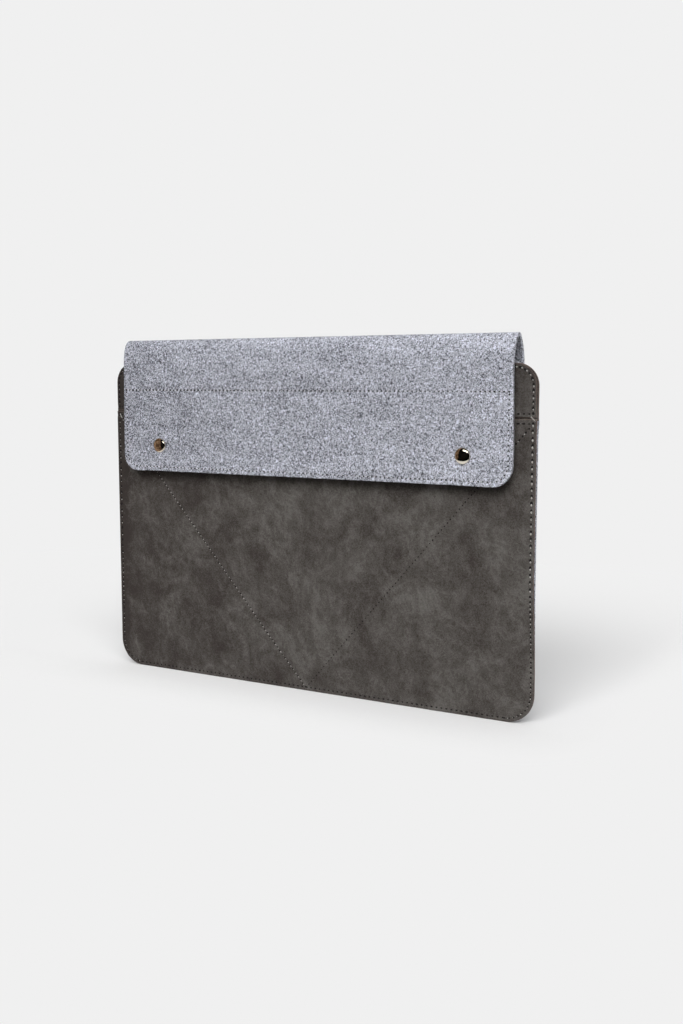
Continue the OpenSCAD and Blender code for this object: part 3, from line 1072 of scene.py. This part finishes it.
PANEL_END = (0, -1, CORNER_R)
BAND_END = (TOP_Z, 1, BAND_R)
leather_pieces = []
for piece, node, behind, span, rise, end in (
    ("leather_front", "front_panel", 0.0, PANEL_SPAN, PANEL_RISE, PANEL_END),
    ("leather_band", "top_band", 0.0, BAND_SPAN, BAND_RISE, BAND_END),
    ("leather_facing", "band_facing", LEATHER_T + LAYER_GAP, FACING_SPAN, FACING_RISE, BAND_END),
):
    leather = thick_sheet(
        piece, edged_lines(*span, LEATHER_CELL), edged_lines(*rise, LEATHER_CELL),
        leather_place(behind), LEATHER_T, LEATHER_EDGE, corners=round_end(*span, *end),
    )
    leather_pieces.append(finish_piece(leather, "sleeve", "leather", LEATHER, node))

LINING_CELL = 3 * MM
LINING_EDGE = 0.35 * MM
LINING_R = FLAP_CORNER_R - LINING_MARGIN
LINING_SPAN = (-lining_high.x, lining_high.x)
lining = thick_sheet(
    "flap_lining_leather",
    edged_lines(*LINING_SPAN, LINING_CELL), edged_lines(lining_low.z, LINING_TOP, LINING_CELL),
    lining_place, LINING_T, LINING_EDGE,
    corners=round_end(*LINING_SPAN, lining_low.z, -1, LINING_R),
)
finish_piece(lining, "flap", "leather", LINING, "flap_lining")

# Felt pieces

FELT_CELL = 1.7 * MM
CREST_CELL = 0.7 * MM
FELT_EDGE = 0.5 * MM
SHOULDER_UP = 2 * MM
SHOULDER_Z = SEAM_Z + SHOULDER_UP
SHOULDER_R = {-1: 1 * MM, 1: 3 * MM}
BLEND_HALF = 6 * MM
BLEND_Z = (ROOT_Z - BLEND_HALF, ROOT_Z + BLEND_HALF)


def beside_flap(x, s):
    return (np.abs(x) > FLAP_HALF) & (s > SHOULDER_Z)


felt_back = thick_sheet(
    "felt_back",
    joined_lines(
        -HALF_W, EDGE_CELL - HALF_W, -FLAP_HALF, EDGE_CELL - FLAP_HALF,
        FLAP_HALF - EDGE_CELL, FLAP_HALF, HALF_W - EDGE_CELL, HALF_W, cell=FELT_CELL),
    np.concatenate([
        joined_lines(0, EDGE_CELL, SHOULDER_Z - EDGE_CELL, SHOULDER_Z, BLEND_Z[0], cell=FELT_CELL),
        joined_lines(BLEND_Z[0], JOIN_S, cell=CREST_CELL)[1:]]),
    felt_place, FELT_T, FELT_EDGE,
    corners=round_end(*PANEL_SPAN, *PANEL_END)
    + [((side * (HALF_W - r), SHOULDER_Z - r), (side, 1), r) for side, r in SHOULDER_R.items()],
    cut=beside_flap, joins=(JOIN_S,), inward=True,
)
felt_back.data.materials.append(FELT)
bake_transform(felt_back)
dress(felt_back, "felt", "back_panel")

felt_flap = thick_sheet(
    "felt_flap",
    edged_lines(-FLAP_HALF, FLAP_HALF, FELT_CELL),
    np.concatenate([
        joined_lines(JOIN_S, FRONT_S, cell=CREST_CELL),
        joined_lines(FRONT_S, END_S - EDGE_CELL, END_S, cell=FELT_CELL)[1:]]),
    felt_place, FELT_T, FELT_EDGE,
    corners=round_end(-FLAP_HALF, FLAP_HALF, END_S, 1, FLAP_CORNER_R),
    joins=(JOIN_S,), inward=True,
)
felt_flap.data.materials.append(FELT)
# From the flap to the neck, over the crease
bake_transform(felt_flap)
dress(felt_flap, "felt", "flap_root", "flap_front")

END_S - JOIN_S

# Press studs

CAP_SEGMENTS = 72
CAP_HEIGHT = FLAP_Y - cap_low.y
RIM_HEIGHT = 0.75 * MM
RIM_ROUND = 0.35 * MM
RIM_TURNS = (-60, -30, 0, 30, 60)
DOME_STEPS = 12
CROWN_R = 0.02 * MM


def cap_profile():
    """From the felt over a rolled rim and up the dome to its crown, as (radius, height)."""
    profile = [(CAP_R - RIM_ROUND, -CAP_PRESS)]
    for turn in np.radians(RIM_TURNS):
        radius = CAP_R - RIM_ROUND * (1 - math.cos(turn))
        profile.append((radius, RIM_HEIGHT / 2 + RIM_ROUND * math.sin(turn)))
    top = profile[-1]
    for k in range(1, DOME_STEPS):
        turn = math.pi / 2 * k / DOME_STEPS
        profile.append((top[0] * math.cos(turn), top[1] + (CAP_HEIGHT - top[1]) * math.sin(turn)))
    profile.append((CROWN_R, CAP_HEIGHT))
    return profile


for side, label in ((-1, "left"), (1, "right")):
    cap = lathe("cap_" + label, cap_profile(), CAP_SEGMENTS, (side * CAP_X, FLAP_Y, CAP_Z))
    finish_piece(cap, "flap", "snap_metal", METAL, "snap_cap_" + label)
    for node in ("snap_socket_", "snap_stud_", "snap_post_"):
        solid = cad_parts[node + label]
        solid.data.materials.clear()
        solid.data.materials.append(METAL)

# Sewing

EDGE_STITCH = dict(length=0.8, diameter=1.0, rise=0.4, hole=(2.4, 1.7))
BAND_STITCH = dict(length=0.7, diameter=0.9, rise=0.3, hole=(2.7, 1.8))
UPPER_STITCH = dict(length=1.2, diameter=0.7, rise=0.3, hole=(1.9, 1.2))
LOWER_STITCH = UPPER_STITCH | dict(hole=(2.6, 1.0))
V_LEFT_STITCH = dict(length=1.1, diameter=0.8, rise=0.3, hole=(1.6, 1.2))
V_RIGHT_STITCH = V_LEFT_STITCH | dict(hole=(1.4, 1.0))
TACK_STITCH = dict(length=4.6, diameter=0.65, rise=0.3, sink=0.3, hole=(0.9, 0.8))
FLAP_STITCH = dict(length=1.0, diameter=0.8, rise=0.2, hole=(1.75, 1.1), thread=FELT_THREAD)
on_front = laid_on(-1, *leather_pieces, worn=front_worn)
on_back = laid_on(1, felt_back, worn=back_worn)
on_flap = laid_on(-1, felt_flap)
on_lining = laid_on(1, lining)


def on_both(rows, on_outside, on_inside):
    return rows(on_outside, TO_FRONT) + rows(on_inside, TO_BACK)


sewing = (
    ("perimeter_stitching", "sleeve", EDGE_STITCH, on_both(border_rows, on_front, on_back)),
    ("band_stitching", "sleeve", BAND_STITCH, band_rows(on_front)),
    ("seam_stitching_upper", "sleeve", UPPER_STITCH, seam_rows(on_front, 1)),
    ("seam_stitching_lower", "sleeve", LOWER_STITCH, seam_rows(on_front, -1)),
    ("v_stitching_left", "sleeve", V_LEFT_STITCH, v_rows(on_front, -1)),
    ("v_stitching_right", "sleeve", V_RIGHT_STITCH, v_rows(on_front, 1)),
    ("bar_tack_left", "sleeve", TACK_STITCH, tack_rows(on_front, -1)),
    ("bar_tack_right", "sleeve", TACK_STITCH, tack_rows(on_front, 1)),
    ("flap_edge_stitching", "flap", FLAP_STITCH, on_both(flap_edge_rows, on_flap, on_lining)),
    ("flap_row_stitching", "flap", FLAP_STITCH, on_both(flap_cross_row, on_flap, on_lining)),
)
for seed, (node, body, sizes, rows) in enumerate(sewing):
    stitches = sewn("sewn_" + node, rows, seed, **sizes)
    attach(stitches, body)
    dress(stitches, "thread", node)

# Stage: floor, light and camera

PAPER = colour(240, 240, 240)
FLOOR_COLOUR = (0.613, 0.613, 0.613, 1)
FLOOR_BOUNCE = (0.13, 0.123, 0.117, 1)
FLOOR_SIZE = 12
FLOOR_DROP = 0.2 * MM
SHADOW_SIDE = 0.13
LIT_SIDE = 1.3
FADE_START = 0.015
FADE_END = 0.09
WORLD_LIGHT = 0.21
KEY_LIGHTS = (("key_right", 1.85, 38, 45, 32), ("key_front", 1.5, 2, 37, 32))
BACK_LIGHT = ("fill_back", 1.7, 180, 16, 60)
FLOOR_LIGHTS = (("floor_front", 1.35, 2, 29, 32), ("floor_top", 0.9, 0, 90, 40))
CARD_STEPS = 9
CARD_CLOUD = 0.45
CARD_BLEND = (0.35, 0.65)
CARD_BEND = ((0.42, 0.001), (1.7, 0.001), (1.7, 0.9), (1.2, 1.5), (0.3, 1.8))
BRIGHT_BEND = ((1.4, 0.58), (1.4, 0.84))
BRIGHT = (5.0, 4.9, 4.7, 1)
CARDS = (
    ("brown_card", (-88, -32), CARD_BEND, (0.06, 0.036, 0.022, 1), (0.34, 0.225, 0.155, 1)),
    ("dark_card", (-32, 80), CARD_BEND, (0.002, 0.002, 0.002, 1), (0.008, 0.007, 0.006, 1)),
    ("bright_card", (-13, 24), BRIGHT_BEND, BRIGHT, BRIGHT),
)


def seen_rays(n):
    """1 for rays from the camera, and for those that metal and glass send on."""
    path = n.add("ShaderNodeLightPath")
    mirrored = n.out_of(path, "Is Camera Ray").most(n.out_of(path, "Is Glossy Ray"))
    return mirrored.most(n.out_of(path, "Is Transmission Ray"))


def paper_floor():
    """Pale floor that takes the shadow near the sleeve and fades into the background."""
    f = Finish("paper_floor")
    seen = seen_rays(f)
    f.set(Base_Color=f.mix_colour(seen, FLOOR_BOUNCE, FLOOR_COLOUR))
    f.set(Roughness=0.9, Specular_IOR_Level=0.0)
    parts = f.add("ShaderNodeSeparateXYZ", {0: f.object_place()})
    across, depth = (f.out_of(parts, axis) for axis in "XY")
    beside = (across - HALF_W).most(0.0) * LIT_SIDE + (0 - across - HALF_W).most(0.0) * SHADOW_SIDE
    before = (0 - depth).most(0.0) + depth.most(0.0) * SHADOW_SIDE
    away = (beside * beside + before * before) ** 0.5
    glow = f.add("ShaderNodeEmission", {"Color": PAPER, "Strength": 1.0}, "Emission")
    fade = away.between(FADE_START, FADE_END) * seen
    both = f.add("ShaderNodeMixShader", {0: fade, 1: f.out_of(f.shader), 2: glow}, 0)
    f.tree.links.new(both.link, f.output.inputs["Surface"])
    return f.material


def floor():
    corners = np.array([(-1, -1, 0), (1, -1, 0), (1, 1, 0), (-1, 1, 0)]) * FLOOR_SIZE / 2
    obj = mesh_object("floor", corners - (0, 0, FLOOR_DROP), [(0, 1, 2, 3)])
    obj.data.materials.append(paper_floor())
    return obj


def studio_card(name, turn, profile, low, high):
    """Curved card round the sleeve, seen only in polished metal; profile is (radius, height)."""
    turns = np.radians(np.linspace(*turn, CARD_STEPS))
    ray = np.stack([np.sin(turns), -np.cos(turns), np.zeros(CARD_STEPS)], axis=1)
    points = np.concatenate([ray * r + (0, 0, z) for r, z in profile])
    first = np.arange(CARD_STEPS - 1)
    at = np.concatenate([first + k * CARD_STEPS for k in range(len(profile) - 1)])
    quads = np.stack([at, at + 1, at + CARD_STEPS + 1, at + CARD_STEPS], axis=1)
    card = mesh_object(name, points, quads)
    f = Finish(name)
    cloud = f.noise(f.object_place(), CARD_CLOUD, detail=3)
    f.set(Base_Color=(0, 0, 0, 1), Roughness=1.0, Specular_IOR_Level=0.0)
    f.set(Emission_Color=f.mix_colour(cloud.between(*CARD_BLEND), low, high), Emission_Strength=1.0)
    card.data.materials.append(f.material)
    for rays in ("camera", "diffuse", "shadow", "transmission"):
        setattr(card, "visible_" + rays, False)


def world_light():
    world = bpy.data.worlds.new("studio")
    world.use_nodes = True
    bpy.context.scene.world = world
    n = Nodes(world.node_tree)
    n.tree.nodes.clear()
    soft = n.add("ShaderNodeBackground", {"Color": (1, 1, 1, 1), "Strength": WORLD_LIGHT}, 0)
    paper = n.add("ShaderNodeBackground", {"Color": PAPER, "Strength": 1.0}, 0)
    both = n.add("ShaderNodeMixShader", {0: seen_rays(n), 1: soft, 2: paper}, 0)
    n.add("ShaderNodeOutputWorld", {"Surface": both})


def soft_lamp(name, energy, azimuth, height, width):
    """A lamp given by its strength, and by its azimuth, height and width in degrees."""
    lamp = bpy.data.lights.new(name, "SUN")
    lamp.energy = energy
    lamp.angle = math.radians(width)
    obj = in_scene(name, lamp)
    obj.rotation_euler = (math.radians(90 - height), 0, math.radians(azimuth))
    return obj


def linked_lamps(lamps, name, pieces):
    """Lamps that light some pieces alone."""
    lit = bpy.data.collections.new(name)
    for piece in pieces:
        lit.objects.link(piece)
    for lamp in lamps:
        soft_lamp(*lamp).light_linking.receiver_collection = lit


def studio_lights(sleeve_pieces, ground):
    """Soft lamps in front, one behind for the sleeve, and two that deepen the floor's shadow."""
    for key in KEY_LIGHTS:
        soft_lamp(*key)
    linked_lamps([BACK_LIGHT], "lit_from_behind", sleeve_pieces)
    linked_lamps(FLOOR_LIGHTS, "lit_floor", [ground])


CAMERA_AT = (0.46004, -0.74583, 0.24198)
CAMERA_PITCH = -6.54
CAMERA_YAW = 29.86
FOCAL_PX = 1136
IMAGE_HIGH_PX = 1024
SENSOR_MM = 36


def camera():
    lens = bpy.data.cameras.new("camera")
    lens.sensor_width = SENSOR_MM
    lens.lens = FOCAL_PX * SENSOR_MM / IMAGE_HIGH_PX
    obj = in_scene("camera", lens)
    obj.location = CAMERA_AT
    obj.rotation_euler = (math.radians(90 + CAMERA_PITCH), 0, math.radians(CAMERA_YAW))
    bpy.context.scene.camera = obj


studio_lights([obj for obj in bpy.context.scene.objects if obj.type == "MESH"], floor())
for card in CARDS:
    studio_card(*card)
world_light()
camera()
bpy.context.scene.view_settings.view_transform = "Standard"
